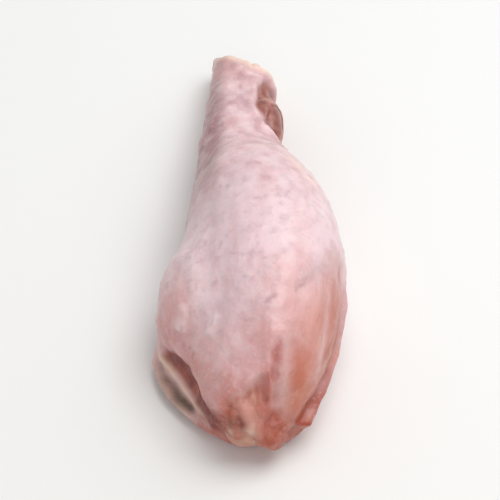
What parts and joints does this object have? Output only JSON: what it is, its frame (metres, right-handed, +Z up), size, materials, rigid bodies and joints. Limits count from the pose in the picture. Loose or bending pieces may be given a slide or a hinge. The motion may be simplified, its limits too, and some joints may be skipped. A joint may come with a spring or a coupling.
{
  "type": "raw chicken drumette",
  "caption": "Raw chicken drumette: the club-shaped upper joint of a wing, skin on, with the wing bone showing at both cut ends.",
  "frame": {"origin": "middle of the bounding box, at the table the drumette lies on", "axes": "+Y from the thick shoulder end to the thin elbow end, +X to the right seen from the shoulder end, +Z up"},
  "size_m": [0.0384, 0.0982, 0.0325],
  "materials": {
    "flesh": "moist pale pink skin over darker red-brown meat, soft sheen",
    "bone": "damp off-white cartilage and bone"
  },
  "bodies": {
    "root": {"flesh": "flesh", "bone": "bone"}
  },
  "joints": []
}
